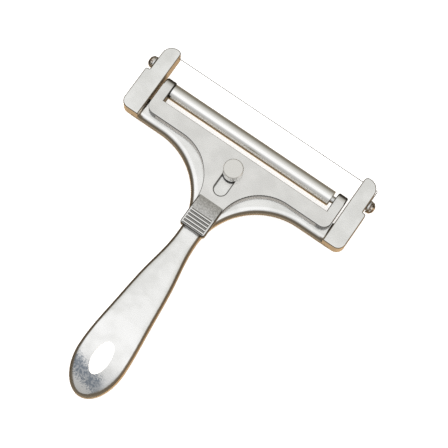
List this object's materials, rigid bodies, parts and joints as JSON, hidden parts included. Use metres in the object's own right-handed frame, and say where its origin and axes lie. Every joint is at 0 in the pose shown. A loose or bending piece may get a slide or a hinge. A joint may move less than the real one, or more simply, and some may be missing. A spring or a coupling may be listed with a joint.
{
  "type": "cheese wire cutter",
  "caption": "Hand-held cheese cutter: a cast frame holds a tight steel wire between its arms, and a roller on a sliding yoke with a thumb screw sets the slice thickness.",
  "frame": {"origin": "on the flat back that the arms, web and neck share, half way along the cutter and between its arms; the handle's end curves 14 mm below that back", "axes": "+X along the wire, +Y from the handle towards the wire, +Z out of the front face that carries the knob"},
  "size_m": [0.1556, 0.1924, 0.0316],
  "materials": {
    "cast_aluminium": "polished die casting",
    "yoke_aluminium": "satin polished",
    "roller_steel": "polished stainless tube",
    "bush_plastic": "moulded acetal",
    "bright_steel": "turned",
    "nickel_plate": "satin nickel plate on steel",
    "wire_steel": "drawn stainless wire",
    "screw_plate": "bright plated steel"
  },
  "bodies": {
    "frame": {"frame_casting": "cast_aluminium", "cutting_wire": "wire_steel", "wire_screw_left": "screw_plate", "wire_screw_right": "screw_plate", "wire_washer_left": "bright_steel", "wire_washer_right": "bright_steel"},
    "yoke": {"slide_yoke": "yoke_aluminium", "roller_axle": "bright_steel"},
    "roller": {"roller_tube": "roller_steel", "roller_bush_left": "bush_plastic", "roller_bush_right": "bush_plastic"},
    "clamp_washer": {"clamp_washer": "bright_steel"},
    "clamp_screw": {"clamp_knob": "nickel_plate", "clamp_stud": "bright_steel"}
  },
  "joints": [
    {"name": "yoke_slide", "type": "slide", "parent": "frame", "child": "yoke", "axis": [0, 1, 0], "range_m": [0, 0.012]},
    {"name": "roller_spin", "type": "hinge", "parent": "yoke", "child": "roller", "pos_m": [0, 0.0751, 0.0052], "axis": [1, 0, 0], "continuous": true},
    {"name": "clamp_lift", "type": "slide", "parent": "frame", "child": "clamp_washer", "axis": [0, 0, 1], "range_m": [0, 0.00125]},
    {"name": "knob_turn", "type": "hinge", "parent": "clamp_washer", "child": "clamp_screw", "pos_m": [0, 0.0548, 0.0111], "axis": [0, 0, 1], "range_deg": [0, 540]}
  ],
  "couplings": [
    {"joint": "clamp_lift", "follows": "knob_turn", "m_per_rad": 0.00012732}
  ]
}
